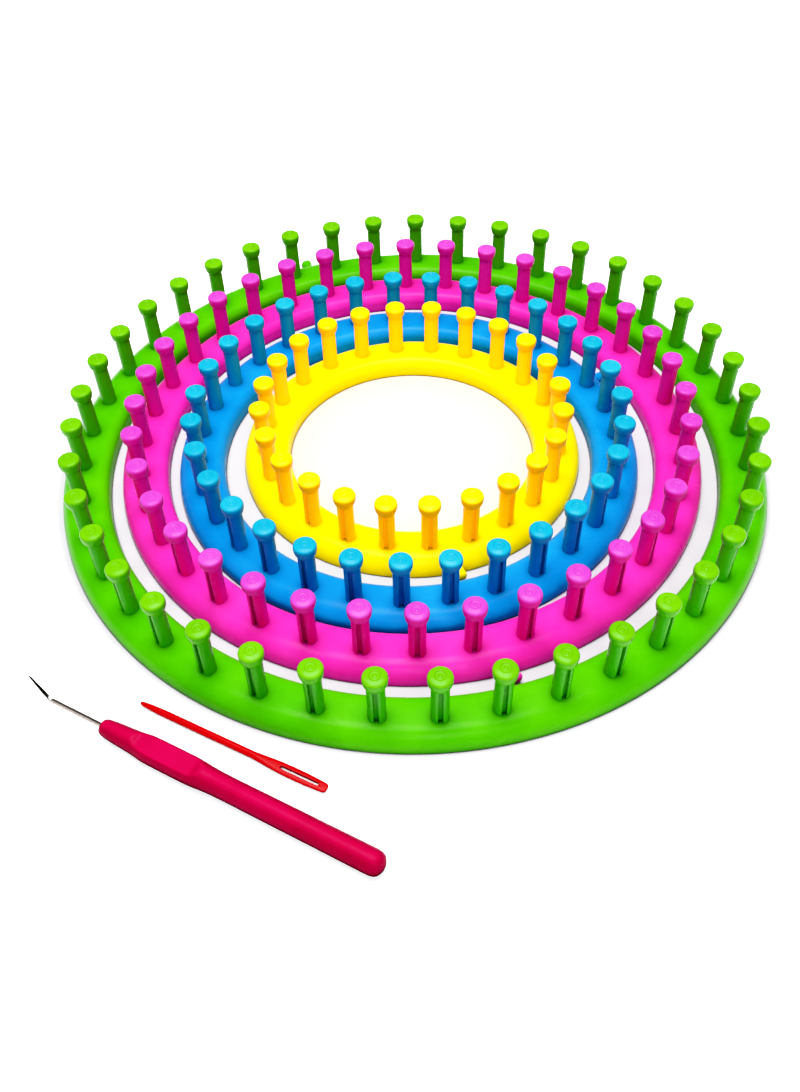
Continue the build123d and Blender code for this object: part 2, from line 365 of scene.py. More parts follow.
PIGMENT = {
    "green": ((0.060, 0.345, 0.001), (0.044, 0.310, 0.0005), (0.088, 0.41, 0.003)),
    "pink": ((0.70, 0.028, 0.31), (0.64, 0.018, 0.27), (0.80, 0.050, 0.38)),
    "blue": ((0.007, 0.195, 0.53), (0.004, 0.17, 0.48), (0.014, 0.25, 0.60)),
    "yellow": ((1.0, 0.71, 0.002), (0.97, 0.65, 0.001), (1.0, 0.78, 0.008)),
    "crimson": ((0.365, 0.001, 0.047), (0.31, 0.0008, 0.038), (0.44, 0.003, 0.066)),
    "red": ((0.38, 0.001, 0.005), (0.33, 0.0006, 0.003), (0.46, 0.004, 0.009)),
}
# painted light: heads catch more light than the rings, so the same pigment is given a touch paler, and glossier
LIT_HEAD_PIGMENT = {
    "green": ((0.096, 0.340, 0.003), (0.080, 0.310, 0.002), (0.140, 0.44, 0.008)),
    "pink": ((0.47, 0.048, 0.37), (0.43, 0.037, 0.33), (0.60, 0.085, 0.47)),
    "blue": ((0.010, 0.265, 0.42), (0.006, 0.235, 0.38), (0.030, 0.37, 0.53)),
    "yellow": ((1.0, 0.62, 0.003), (0.96, 0.56, 0.002), (1.0, 0.72, 0.012)),
}
MATS = {k: plastic(k + "_plastic", *PIGMENT[k]) for k in ("green", "pink", "blue", "yellow")}
# painted shade: the deeper colours given to the peg shafts and the undersides of the heads
PAINTED_SHAFT_SHADE = {"green": (0.034, 0.28, 0.004), "pink": (0.70, 0.006, 0.20), "blue": (0.002, 0.165, 0.50),
          "yellow": (1.0, 0.42, 0.0008)}
PEG_MATS = {k: plastic(k + "_peg_plastic", *LIT_HEAD_PIGMENT[k], rough=0.22, spec=0.11, reach=3.0, crease_shade=0.75, painted_shade_tone=PAINTED_SHAFT_SHADE[k],
                       # painted glow for the yellow pegs
                       painted_glow=0.28 if k == "yellow" else 0.0)
            for k in ("green", "pink", "blue", "yellow")}
# painted shade and light on the hook handle and the needle: darker towards the sides and underside, lighter on top
MATS["crimson"] = plastic("crimson_plastic", *PIGMENT["crimson"], rough=0.34, spec=0.035, crease_shade=0.4,
                          under=((-1.0, 0.04), (-0.2, 0.07), (0.0, 0.22), (0.18, 0.52), (0.36, 0.66),
                                 (0.80, 0.68), (0.96, 0.96), (1.0, 1.0)))
MATS["red"] = plastic("red_plastic", *PIGMENT["red"], rough=0.28, spec=0.08, reach=1.5, crease_shade=0.6,
                      under=((-1.0, 0.15), (-0.3, 0.3), (0.1, 0.8), (0.5, 1.0), (1.0, 1.0)))


def steel_material(name, shade_lo, shade_hi, painted_light_bands=None):
    mat = bpy.data.materials.new(name)
    mat.use_nodes = True
    nt = mat.node_tree
    bs = nt.nodes["Principled BSDF"]
    bs.inputs["Metallic"].default_value = 0.45 if painted_light_bands else 1.0
    tc = nt.nodes.new("ShaderNodeTexCoord")
    mp = nt.nodes.new("ShaderNodeMapping")
    mp.inputs["Rotation"].default_value = (0, 0, math.radians(29))
    mp.inputs["Scale"].default_value = (40, 2600, 2600)
    nt.links.new(tc.outputs["Object"], mp.inputs["Vector"])
    n = nt.nodes.new("ShaderNodeTexNoise")
    n.inputs["Scale"].default_value = 1.0
    n.inputs["Detail"].default_value = 3.0
    nt.links.new(mp.outputs["Vector"], n.inputs["Vector"])
    cr = nt.nodes.new("ShaderNodeValToRGB")
    cr.color_ramp.elements[0].color = (*shade_lo, 1)
    cr.color_ramp.elements[1].color = (*shade_hi, 1)
    nt.links.new(n.outputs["Fac"], cr.inputs["Fac"])
    tone = cr.outputs["Color"]
    if painted_light_bands:
        # painted highlight and shade: light and dark stripes round the wire, set by its normal against one fixed
        # direction
        gm = nt.nodes.new("ShaderNodeNewGeometry")
        dp = nt.nodes.new("ShaderNodeVectorMath")
        dp.operation = "DOT_PRODUCT"
        nt.links.new(gm.outputs["Normal"], dp.inputs[0])
        dp.inputs[1].default_value = (0.71 * math.sin(math.radians(29)), 0.71 * math.cos(math.radians(29)), 0.70)
        sh = nt.nodes.new("ShaderNodeMapRange")
        sh.inputs["From Min"].default_value = -1.0
        sh.inputs["From Max"].default_value = 1.0
        nt.links.new(dp.outputs["Value"], sh.inputs["Value"])
        br = nt.nodes.new("ShaderNodeValToRGB")
        br.color_ramp.elements[0].position = painted_light_bands[0][0]
        br.color_ramp.elements[0].color = (*painted_light_bands[0][1], 1)
        br.color_ramp.elements[1].position = painted_light_bands[-1][0]
        br.color_ramp.elements[1].color = (*painted_light_bands[-1][1], 1)
        for at, colour in painted_light_bands[1:-1]:
            br.color_ramp.elements.new(at).color = (*colour, 1)
        nt.links.new(sh.outputs["Result"], br.inputs["Fac"])
        bm = nt.nodes.new("ShaderNodeMix")
        bm.data_type = "RGBA"
        bm.inputs["Factor"].default_value = 0.85
        nt.links.new(tone, bm.inputs["A"])
        nt.links.new(br.outputs["Color"], bm.inputs["B"])
        tone = bm.outputs["Result"]
    nt.links.new(tone, bs.inputs["Base Color"])
    mr = nt.nodes.new("ShaderNodeMapRange")
    mr.inputs["To Min"].default_value = 0.2
    mr.inputs["To Max"].default_value = 0.38
    nt.links.new(n.outputs["Fac"], mr.inputs["Value"])
    nt.links.new(mr.outputs["Result"], bs.inputs["Roughness"])
    bp = nt.nodes.new("ShaderNodeBump")
    bp.inputs["Strength"].default_value = 0.15
    bp.inputs["Distance"].default_value = 0.00002
    nt.links.new(n.outputs["Fac"], bp.inputs["Height"])
    nt.links.new(bp.outputs["Normal"], bs.inputs["Normal"])
    return mat


# painted highlight and shade on the wire, in stripes
STEEL = steel_material("drawn_steel", lin(88, 80, 72), lin(168, 158, 146),
                       painted_light_bands=[(0.0, lin(120, 110, 104)), (0.20, lin(160, 150, 142)), (0.30, lin(222, 213, 205)),
                              (0.43, lin(226, 218, 210)), (0.50, lin(100, 90, 80)), (0.55, lin(105, 95, 86)),
                              (0.61, lin(218, 204, 196)), (0.67, lin(205, 190, 182)), (0.75, lin(30, 26, 23)),
                              (1.0, lin(15, 13, 12))])
LATCH = steel_material("dark_latch_steel", lin(22, 21, 21), lin(70, 66, 64))


# ------------------------------------------------- where the CAD pieces are
def loose_parts(node):
    """The vertices of each separate solid of a node."""
    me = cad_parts[node].data
    co = np.zeros(len(me.vertices) * 3)
    me.vertices.foreach_get("co", co)
    co = co.reshape(-1, 3)
    key = np.round(co / 2e-6).astype(np.int64)
    _, inv = np.unique(key, axis=0, return_inverse=True)
    inv = inv.ravel()
    parent = list(range(inv.max() + 1))

    def root(i):
        while parent[i] != i:
            parent[i] = parent[parent[i]]
            i = parent[i]
        return i
    for p in me.polygons:
        vs = [inv[v] for v in p.vertices]
        r0 = root(vs[0])
        for v in vs[1:]:
            r = root(v)
            if r != r0:
                parent[r] = r0
    groups = {}
    for i in range(len(co)):
        groups.setdefault(root(inv[i]), []).append(i)
    return [co[g] for g in groups.values()]


# -------------------------------------------------------------------- rings
OUT_W, IN_W, RING_H = 9.1, 9.9, 8.2
WALL, TOP_T = 2.2, 2.4
OUT_R, IN_R = 6.6, 4.4


def ring_profile():
    """Closed outline of the shell's section: (offset from the peg circle, height), mm."""
    p = []
    p += arc_points(OUT_W - 0.45, 0.45, 0.45, -90, 0, 5)              # outer foot
    p += [(OUT_W, 1.0)]
    p += arc_points(OUT_W - OUT_R, RING_H - OUT_R, OUT_R, 0, 90, 18)  # outer rounding
    p += [(0.0, RING_H), (-3.0, RING_H)]
    p += arc_points(-IN_W + IN_R, RING_H - IN_R, IN_R, 90, 180, 14)   # inner rounding
    p += [(-IN_W, 2.4), (-IN_W, 0.9)]
    p += arc_points(-IN_W + 0.3, 0.3, 0.3, 180, 270, 4)               # inner foot
    p += [(-IN_W + WALL - 0.25, 0.0), (-IN_W + WALL, 0.25)]
    p += [(-IN_W + WALL, 2.0)]
    p += arc_points(-IN_W + IN_R, RING_H - IN_R, IN_R - WALL, 180, 90, 8)
    p += [(0.0, RING_H - TOP_T)]
    p += arc_points(OUT_W - OUT_R, RING_H - TOP_T - OUT_R + WALL, OUT_R - WALL, 90, 0, 10)
    p += [(OUT_W - WALL, 0.25), (OUT_W - WALL + 0.25, 0.0)]
    return p


def make_ring(name, centre, r, pegs, n_around):
    prof = ring_profile()
    m = len(prof)
    vs, fs = [], []
    for i in range(n_around):
        a = 2 * math.pi * i / n_around
        ca, sa = math.cos(a), math.sin(a)
        for (o, z) in prof:
            vs.append(((r + o) * ca, (r + o) * sa, z))
    for i in range(n_around):
        j = (i + 1) % n_around
        for k in range(m):
            l = (k + 1) % m
            fs.append((i * m + k, j * m + k, j * m + l, i * m + l))
    parts = [(vs, fs)]
    # sockets and webs under the top wall
    for (ax, ay) in pegs:
        a = math.atan2(ay, ax)
        ca, sa = math.cos(a), math.sin(a)
        px, py = r * ca, r * sa
        ring = [(3.9, 7.0), (3.9, 1.5), (3.6, 1.2), (2.45, 1.2), (2.2, 1.45), (2.2, 7.0)]
        ns = 36
        sv = []
        for q in range(ns):
            b = 2 * math.pi * q / ns
            for (rr, z) in ring:
                sv.append((px + rr * math.cos(b), py + rr * math.sin(b), z))
        sf = []
        for q in range(ns):
            t = (q + 1) % ns
            for k in range(len(ring)):
                l = (k + 1) % len(ring)
                sf.append((q * len(ring) + k, t * len(ring) + k, t * len(ring) + l, q * len(ring) + l))
        parts.append((sv, sf))
        for (x0, x1) in ((-IN_W + 1.2, -3.4), (3.4, OUT_W - 1.2)):
            hw = 0.7
            # outline in the wall's thickness: lower edge level, upper edge inside the top wall
            if x0 < 0:
                low, up = [(x0, 3.0), (x1, 3.0)], [(x1, 6.9), (-7.2, 6.5), (-8.3, 5.2)]
                up[-1] = (x0 + 0.05, 4.6)
            else:
                low, up = [(x0, 3.0), (x1 - 0.4, 3.0)], [(x1 - 0.9, 4.7), (6.2, 6.0), (x0, 7.0)]
            poly = low + up
            k = len(poly)
            pts = [(x, -hw, z) for (x, z) in poly] + [(x, hw, z) for (x, z) in poly]
            wv = [((r + x) * ca - y * sa, (r + x) * sa + y * ca, z) for (x, y, z) in pts]
            wf = [tuple(range(k)), tuple(range(2 * k - 1, k - 1, -1))]
            wf += [(q, q + k, (q + 1) % k + k, (q + 1) % k) for q in range(k)]
            parts.append((wv, wf))
    v, f = merged(parts)
    v = [((x + centre[0]) * MM, (y + centre[1]) * MM, z * MM) for (x, y, z) in v]
    return new_object(name, v, f, 30.0)


# --------------------------------------------------------------------- pegs
PEG_TOP, HEAD_R, HEAD_Z, NECK_R, NECK_Z, SHAFT_R = 23.3, 4.25, 21.95, 3.5, 18.4, 3.15
FLAT_X, GROOVE_TOP, GROOVE_X = 2.75, 17.7, 1.2


def shaft_section(z, n_back=40):
    """Grooved cross-section at height z: list of (x, y), groove facing +x."""
    t = max(0.0, min(1.0, z / GROOVE_TOP))
    gw = (1.85 + (1.45 - 1.85) * t) / 2
    fy = math.sqrt(SHAFT_R ** 2 - FLAT_X ** 2)          # half width of the flat
    e = 0.12
    half = []
    # groove floor centre to floor corner, wall, land, round corner onto the shaft
    half += [(GROOVE_X, 0.0), (GROOVE_X, gw * 0.55), (GROOVE_X + 0.02, gw - 0.16), (GROOVE_X + 0.14, gw - 0.02)]
    half += [(GROOVE_X + 0.5, gw), (FLAT_X - 0.5, gw), (FLAT_X - e, gw), (FLAT_X - 0.03, gw + 0.03), (FLAT_X, gw + e)]
    half += [(FLAT_X, (gw + fy) / 2), (FLAT_X, fy - 0.22), (FLAT_X - 0.03, fy - 0.07)]
    a0 = math.atan2(fy + 0.10, FLAT_X - 0.06)
    for i in range(n_back // 2 + 1):
        a = a0 + (math.pi - a0) * i / (n_back // 2)
        half.append((SHAFT_R * math.cos(a), SHAFT_R * math.sin(a)))
    pts = half + [(x, -y) for (x, y) in reversed(half[1:-1])]
    return pts


def peg_template():
    base = shaft_section(0)
    n = len(base)
    # angle of every point on the plain round sections
    nh = n // 2
    k_round = 12
    fy_a = math.atan2(math.sqrt(SHAFT_R ** 2 - FLAT_X ** 2) + 0.10, FLAT_X - 0.06)
    ang = []
    for i in range(nh + 1):
        if i < k_round:
            ang.append(fy_a * i / k_round)
        else:
            ang.append(math.atan2(base[i][1], base[i][0]))
    ang = ang + [-a for a in reversed(ang[1:-1])]
    rows = []

    def round_row(rr, z):
        rows.append([(rr * math.cos(a), rr * math.sin(a), z) for a in ang])

    # stem, up to the shoulder that sits on the ring
    for rr, z in ((1.55, -6.8), (1.80, -6.7), (2.1, -6.3), (2.17, -6.1), (2.17, -0.6), (2.17, -0.35)):
        round_row(rr, z)
    # foot and shaft: grooved sections from the foot up to the top of the groove, each scaled by 1.0, so without spread
    for grow, z in ((1.0, -0.35), (1.0, 0.0), (1.0, 0.35), (1.0, 1.2), (1.0, 3.0), (1.0, 6.0), (1.0, 9.0),
                    (1.0, 12.0), (1.0, 15.0), (1.0, 16.6), (1.0, GROOVE_TOP - 0.28)):
        s = shaft_section(z)
        rows.append([(x * grow, y * grow, z) for (x, y) in s])
    # top of the groove: eased corner, then the ledge out to the round neck
    s = shaft_section(GROOVE_TOP)
    rows.append([(x + (0.06 if i < 12 or i > n - 12 else 0), y, GROOVE_TOP - 0.10) for i, (x, y) in enumerate(s)])
    mid = []
    for i, (x, y) in enumerate(s):
        cx, cy = SHAFT_R * math.cos(ang[i]), SHAFT_R * math.sin(ang[i])
        mid.append((x * 0.9 + cx * 0.1, y * 0.9 + cy * 0.1, GROOVE_TOP - 0.01))
    rows.append(mid)
    rows.append([(SHAFT_R * 0.35 * math.cos(a) + x * 0.65, SHAFT_R * 0.35 * math.sin(a) + y * 0.65, GROOVE_TOP)
                 for (x, y), a in zip(s, ang)])
    rows.append([((SHAFT_R - 0.10) * math.cos(a), (SHAFT_R - 0.10) * math.sin(a), GROOVE_TOP + 0.01) for a in ang])
    # neck collar, underside of the head, rim, crown with its ring mark and gate spot
    for rr, z in ((SHAFT_R + 0.01, GROOVE_TOP + 0.08), (SHAFT_R + 0.01, NECK_Z - 0.24), (SHAFT_R + 0.04, NECK_Z - 0.17),
                  (NECK_R - 0.04, NECK_Z - 0.05), (NECK_R + 0.02, NECK_Z + 0.02), (3.60, 18.55), (3.80, 18.86),
                  (3.98, 19.28), (4.12, 19.80), (4.22, 20.36), (4.28, 20.92), (4.31, 21.40), (4.31, 21.76),
                  (4.30, 22.00), (4.25, 22.28), (4.16, 22.52), (4.03, 22.73), (3.85, 22.89), (3.64, 22.99), (3.40, 23.05),
                  (3.0, 23.12), (2.5, 23.21), (2.25, 23.26), (2.10, 23.275), (1.99, 23.25), (1.90, 23.14), (1.78, 23.00),
                  (1.6, 22.94), (1.25, 22.93), (0.88, 22.95), (0.78, 23.00), (0.68, 23.12), (0.55, 23.21), (0.30, 23.25),
                  (0.10, 23.255)):
        round_row(rr, z)
    vs = [p for row in rows for p in row]
    fs = grid_faces(n, len(rows))
    vs.append((0, 0, -6.82))
    vs.append((0, 0, 23.256))
    b, t = len(vs) - 2, len(vs) - 1
    for i in range(n):
        fs.append((b, (i + 1) % n, i))
        o = (len(rows) - 1) * n
        fs.append((t, o + i, o + (i + 1) % n))
    return np.array(vs), fs


PEG_V, PEG_F = peg_template()


def make_pegs(name, node, centre):
    parts, angs = [], []
    for c in loose_parts(node):
        lo, hi = c.min(0), c.max(0)
        px, py = (lo[0] + hi[0]) / 2 / MM, (lo[1] + hi[1]) / 2 / MM
        angs.append((px - centre[0], py - centre[1]))
    angs.sort(key=lambda q: math.atan2(q[1], q[0]))
    for (dx, dy) in angs:
        a = math.atan2(dy, dx) + math.radians(rng.uniform(-2.0, 2.0))
        lean_t = math.radians(rng.uniform(-0.35, 0.35))
        lean_r = math.radians(rng.uniform(-0.35, 0.35))
        ca, sa = math.cos(a), math.sin(a)
        v = PEG_V.copy()
        # a hair of lean about the foot, as pressed pegs have
        x = v[:, 0] + np.maximum(v[:, 2], 0) * math.tan(lean_r)
        y = v[:, 1] + np.maximum(v[:, 2], 0) * math.tan(lean_t)
        z = v[:, 2] + RING_H
        w = np.stack([x * ca - y * sa + dx + centre[0], x * sa + y * ca + dy + centre[1], z], 1) * MM
        parts.append((w.tolist(), PEG_F))
    v, f = merged(parts)
    return new_object(name, v, f, 38.0), angs


def revolve_x(profile, n=40):
    """Closed revolve about X from (x, radius) points that start and end near the axis."""
    vs = []
    for (x, rr) in profile:
        for i in range(n):
            a = 2 * math.pi * i / n
            vs.append((x, rr * math.cos(a), rr * math.sin(a)))
    fs = grid_faces(n, len(profile))
    vs.append((profile[0][0], 0, 0))
    vs.append((profile[-1][0], 0, 0))
    o = (len(profile) - 1) * n
    for i in range(n):
        fs.append((len(vs) - 2, (i + 1) % n, i))
        fs.append((len(vs) - 1, o + i, o + (i + 1) % n))
    return vs, fs


def make_knob(name, node, centre, r):
    lo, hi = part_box(node)
    kx, ky = (lo.x + hi.x) / 2 / MM - centre[0], (lo.y + hi.y) / 2 / MM - centre[1]
    kz = (lo.z + hi.z) / 2 / MM
    a = math.atan2(ky, kx)
    prof = [(-3.4, 0.8), (-3.4, 1.5), (-3.25, 1.68), (-1.8, 1.7), (-1.75, 2.2), (-1.7, 2.3), (0.0, 2.3), (2.7, 2.28),
            (3.15, 2.32), (3.45, 2.46), (3.72, 2.62), (3.95, 2.69), (4.35, 2.7), (4.62, 2.64), (5.05, 2.36), (5.45, 1.88),
            (5.75, 1.33), (5.93, 0.75), (5.99, 0.3)]
    vs, fs = revolve_x(prof)
    ca, sa = math.cos(a), math.sin(a)
    R = r + OUT_W
    vs = [(((R + x) * ca - y * sa + centre[0]) * MM, ((R + x) * sa + y * ca + centre[1]) * MM, (z + kz) * MM)
          for (x, y, z) in vs]
    return new_object(name, vs, fs, 40.0)


for colour in ("green", "pink", "blue", "yellow"):
    lo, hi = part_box(colour + "_ring")
    centre = ((lo.x + hi.x) / 2 / MM, (lo.y + hi.y) / 2 / MM)
    r = (hi.x - lo.x) / 2 / MM - OUT_W
    pegs, where = make_pegs(colour + "_peg_set", colour + "_pegs", centre)
    ring = make_ring(colour + "_ring_shell", centre, r, where, int(round(r * 4.6)))
    knob = make_knob(colour + "_side_knob", colour + "_anchor_knob", centre, r)
    for ob, node in ((ring, "_ring"), (pegs, "_pegs"), (knob, "_anchor_knob")):
        ob.data.materials.append((PEG_MATS if ob is pegs else MATS)[colour])
        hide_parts(colour + node)
        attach(ob, colour + "_loom")


# ---------------------------------------------------------------- hook tool
def frame_on_line(p, q, z):
    """Origin at p, X along p to q, Y level, Z up."""
    d = Vector((q[0] - p[0], q[1] - p[1], 0)).normalized()
    return Matrix(((d.x, -d.y, 0, p[0]), (d.y, d.x, 0, p[1]), (0, 0, 1, z), (0, 0, 0, 1)))


def to_world(mat, vs):
    return [tuple((mat @ Vector(v)) * MM) for v in vs]


def interp(table, s):
    xs = [t[0] for t in table]
    ys = [t[1] for t in table]
    # monotone cubic through the table
    n = len(xs)
    d = [(ys[i + 1] - ys[i]) / (xs[i + 1] - xs[i]) for i in range(n - 1)]
    mm = [d[0]] + [0 if d[i - 1] * d[i] <= 0 else 2 * d[i - 1] * d[i] / (d[i - 1] + d[i]) for i in range(1, n - 1)] + [d[-1]]
    if s <= xs[0]:
        return ys[0]
    if s >= xs[-1]:
        return ys[-1]
    i = max(k for k in range(n - 1) if xs[k] <= s)
    h = xs[i + 1] - xs[i]
    t = (s - xs[i]) / h
    return ((2 * t ** 3 - 3 * t ** 2 + 1) * ys[i] + (t ** 3 - 2 * t ** 2 + t) * h * mm[i]
            + (-2 * t ** 3 + 3 * t ** 2) * ys[i + 1] + (t ** 3 - t ** 2) * h * mm[i + 1])


HOOK_NOSE, HOOK_END = (-107.26, -135.13), (-13.17, -187.84)
HOOK_BEND, HOOK_TIP = (-126.77, -124.16), (-136.6, -113.7)
h_lo, h_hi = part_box("hook_handle")
HOOK_Z = (h_lo.z + h_hi.z) / 2 / MM
L = math.hypot(HOOK_END[0] - HOOK_NOSE[0], HOOK_END[1] - HOOK_NOSE[1])
HANDLE_R = [(0.0, 1.6), (0.10, 1.95), (0.45, 2.5), (1.0, 2.8), (1.7, 2.98), (5.0, 3.38), (10.0, 3.7), (15.0, 4.05),
            (19.0, 4.52), (22.0, 4.6), (30.0, 4.64), (36.0, 4.62), (39.0, 4.48), (42.0, 4.24), (46.0, 4.02), (52.0, 3.95),
            (66.0, 4.0), (84.0, 4.04), (L - 5.0, 4.1), (L - 3.9, 4.06), (L - 2.9, 3.95), (L - 2.1, 3.68),
            (L - 1.3, 3.2), (L - 0.8, 2.5), (L - 0.4, 1.75), (L - 0.12, 0.9), (L - 0.02, 0.35)]


def soft_clamp(v, lim, k=0.12):
    """min(v, lim) with a small rounded corner."""
    if v < lim - 3 * k:
        return v
    if v > lim + 3 * k:
        return lim
    return -k * math.log(math.exp(-v / k) + math.exp(-lim / k))


def make_handle():
    ss = [0, 0.1, 0.25, 0.45, 0.7, 1.0, 1.4, 1.8] + [2.4 + i * 0.62 for i in range(int((L - 7.6) / 0.62))]
    ss += [L - 5.0, L - 4.4, L - 3.9, L - 3.4, L - 2.9, L - 2.5, L - 2.1, L - 1.7, L - 1.3, L - 1.0, L - 0.8, L - 0.6,
           L - 0.4, L - 0.25, L - 0.12, L - 0.02]
    n = 72
    vs = []
    for s in ss:
        rr = interp(HANDLE_R, s) * 1.03
        # thumb flats above and below, with sloping ends
        lim = 3.2
        if s < 15.5:
            lim = 3.2 + (15.5 - s) * 0.43
        elif s > 38.0:
            lim = 3.2 + (s - 38.0) * 0.46
        for i in range(n):
            a = 2 * math.pi * (i + 0.5) / n
            y, z = rr * math.cos(a), rr * math.sin(a)
            z = math.copysign(soft_clamp(abs(z), lim), z)
            vs.append((s, y, z))
    fs = grid_faces(n, len(ss))
    # closed dome, and at the other end the hole's rim round the steel
    o = (len(ss) - 1) * n
    vs.append((L, 0, 0))
    for i in range(n):
        fs.append((o + i, o + (i + 1) % n, len(vs) - 1))
    prev = 0
    for (x, rr) in [(-0.0, 1.3), (0.0, 1.0), (0.12, 0.86), (1.2, 0.84)]:
        b = len(vs)
        for i in range(n):
            a = 2 * math.pi * (i + 0.5) / n
            vs.append((x, rr * math.cos(a), rr * math.sin(a)))
        for i in range(n):
            j = (i + 1) % n
            fs.append((prev + j, prev + i, b + i, b + j))
        prev = b
    vs.append((1.2, 0, 0))
    for i in range(n):
        fs.append((prev + (i + 1) % n, prev + i, len(vs) - 1))
    return new_object("loom_hook_handle", to_world(frame_on_line(HOOK_NOSE, HOOK_END, HOOK_Z), vs), fs, 32.0)


handle = make_handle()
handle.data.materials.append(MATS["crimson"])
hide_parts("hook_handle")
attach(handle, "hook")


def make_steel():
    """Wire from inside the handle to the bend, then the thin pointed latch tip with its throat."""
    nose, bend, tip = Vector((*HOOK_NOSE, 0)), Vector((*HOOK_BEND, 0)), Vector((*HOOK_TIP, 0))
    d0 = (bend - nose).normalized()
    d1 = (tip - bend).normalized()
    shank = (bend - nose).length
    spear = (tip - bend).length
    # open side of the throat: towards the looms
    side0 = Vector((d0.y, -d0.x, 0))
    side1 = Vector((d1.y, -d1.x, 0))
    rows = []      # centre, sideways axis, half width sideways, half height, sideways offset
    for s in (-1.0, 0.0, 4.0, 8.0, 12.0, 16.0, shank - 2.2, shank - 1.4, shank - 0.9):
        rows.append((nose + d0 * s, side0, 0.9, 0.9, 0.0))
    # shoulder of the wire, cut back towards the throat
    rows += [(bend - d0 * 0.62, side0, 0.88, 0.88, 0.0), (bend - d0 * 0.45, side0, 0.78, 0.80, -0.06),
             (bend - d0 * 0.36, side0, 0.46, 0.66, -0.30), (bend - d0 * 0.05, (side0 + side1).normalized(), 0.34, 0.56, -0.42),
             (bend + d1 * 0.55, side1, 0.30, 0.50, -0.42), (bend + d1 * 1.15, side1, 0.30, 0.48, -0.36),
             (bend + d1 * 1.6, side1, 0.34, 0.48, -0.26), (bend + d1 * 1.82, side1, 0.48, 0.48, -0.08),
             (bend + d1 * 1.98, side1, 0.60, 0.50, 0.06), (bend + d1 * 2.2, side1, 0.62, 0.52, 0.06)]
    for t in (0.3, 0.42, 0.55, 0.68, 0.8, 0.9, 0.96, 0.985, 1.0):
        w = 0.74 + (0.30 - 0.74) * (t - 0.15) / 0.85
        if t > 0.95:
            w *= 1 - (t - 0.95) / 0.05 * 0.5
        rows.append((bend + d1 * (spear * t), side1, w, w * 0.9, 0.0))
    n = 28
    vs = []
    for (c, sd, w, h, off) in rows:
        for i in range(n):
            a = 2 * math.pi * i / n
            p = c + sd * (off + w * math.cos(a))
            vs.append((p.x, p.y, HOOK_Z + h * math.sin(a)))
    fs = grid_faces(n, len(rows))
    for (k, o, flip) in ((0, 0, True), (len(rows) - 1, (len(rows) - 1) * n, False)):
        c, sd, w, h, off = rows[k]
        vs.append((c.x + sd.x * off, c.y + sd.y * off, HOOK_Z))
        for i in range(n):
            j = (i + 1) % n
            fs.append((len(vs) - 1, o + j, o + i) if flip else (len(vs) - 1, o + i, o + j))
    return new_object("loom_hook_steel", [tuple(Vector(v) * MM) for v in vs], fs, 45.0)


steel = make_steel()
steel.data.materials.append(STEEL)
steel.data.materials.append(LATCH)
latch_dir = (Vector(HOOK_TIP) - Vector(HOOK_BEND)).normalized()
for f in steel.data.polygons:
    if (Vector(f.center[:2]) / MM - Vector(HOOK_BEND)).dot(latch_dir) > 0.9:
        f.material_index = 1
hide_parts("hook_steel")
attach(steel, "hook")


# -------------------------------------------------------------- yarn needle
NEEDLE_TIP, NEEDLE_END = (-96.62, -124.11), (-31.62, -159.17)


